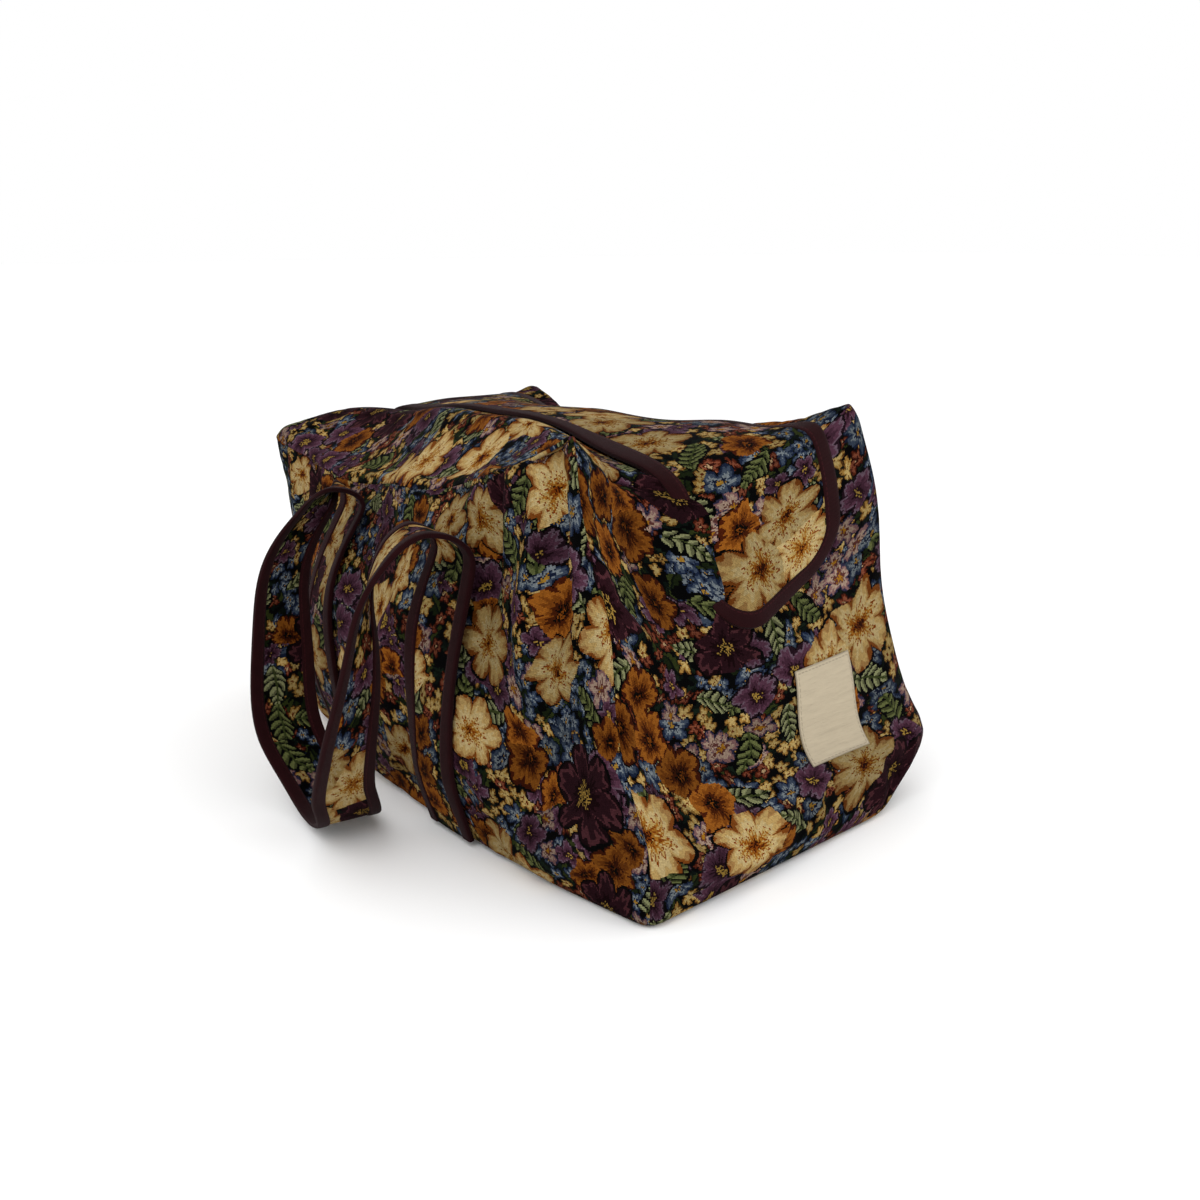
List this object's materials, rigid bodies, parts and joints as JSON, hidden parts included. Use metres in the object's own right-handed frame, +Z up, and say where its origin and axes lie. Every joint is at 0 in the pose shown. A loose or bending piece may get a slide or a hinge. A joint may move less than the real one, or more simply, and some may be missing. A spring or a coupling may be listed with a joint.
{
  "type": "boston bag",
  "caption": "Soft slumped boston bag in floral tapestry cloth, with a bound closing flap over a zip mouth, drooping strap handles and a plain sewn label.",
  "frame": {"origin": "middle of the base on the floor, halfway along the bag", "axes": "+X along the bag towards the end with the label, -Y towards the front handle, +Z up"},
  "size_m": [0.5525, 0.4327, 0.2806],
  "materials": {
    "tapestry": "woven floral tapestry on a black ground",
    "binding": "dark oxblood twill tape",
    "label": "plain cream woven patch",
    "zip_tape": "dark zip tape",
    "zip_metal": "dulled brass"
  },
  "bodies": {
    "bag": {"front_panel": "tapestry", "back_panel": "tapestry", "right_end_panel": "tapestry", "left_end_panel": "tapestry", "base_panel": "tapestry", "front_top_panel": "tapestry", "back_top_panel": "tapestry", "front_zip_tape": "zip_tape", "back_zip_tape": "zip_tape", "front_teeth": "zip_metal", "back_teeth": "zip_metal", "zip_stops": "zip_metal", "closing_flap": "tapestry", "flap_binding": "binding", "front_handle": "tapestry", "front_handle_inner_binding": "binding", "front_handle_outer_binding": "binding", "back_handle": "tapestry", "back_handle_inner_binding": "binding", "back_handle_outer_binding": "binding", "label": "label"},
    "zip_slider": {"zip_slider": "zip_metal"},
    "zip_pull": {"zip_pull": "zip_metal"}
  },
  "joints": [
    {"name": "zip_slide", "type": "slide", "parent": "bag", "child": "zip_slider", "axis": [1, 0, 0], "range_m": [-0.25, 0]},
    {"name": "pull_tip", "type": "hinge", "parent": "zip_slider", "child": "zip_pull", "pos_m": [0.13, 0.022, 0.2371], "axis": [0, 1, 0], "range_deg": [0, 25]}
  ]
}
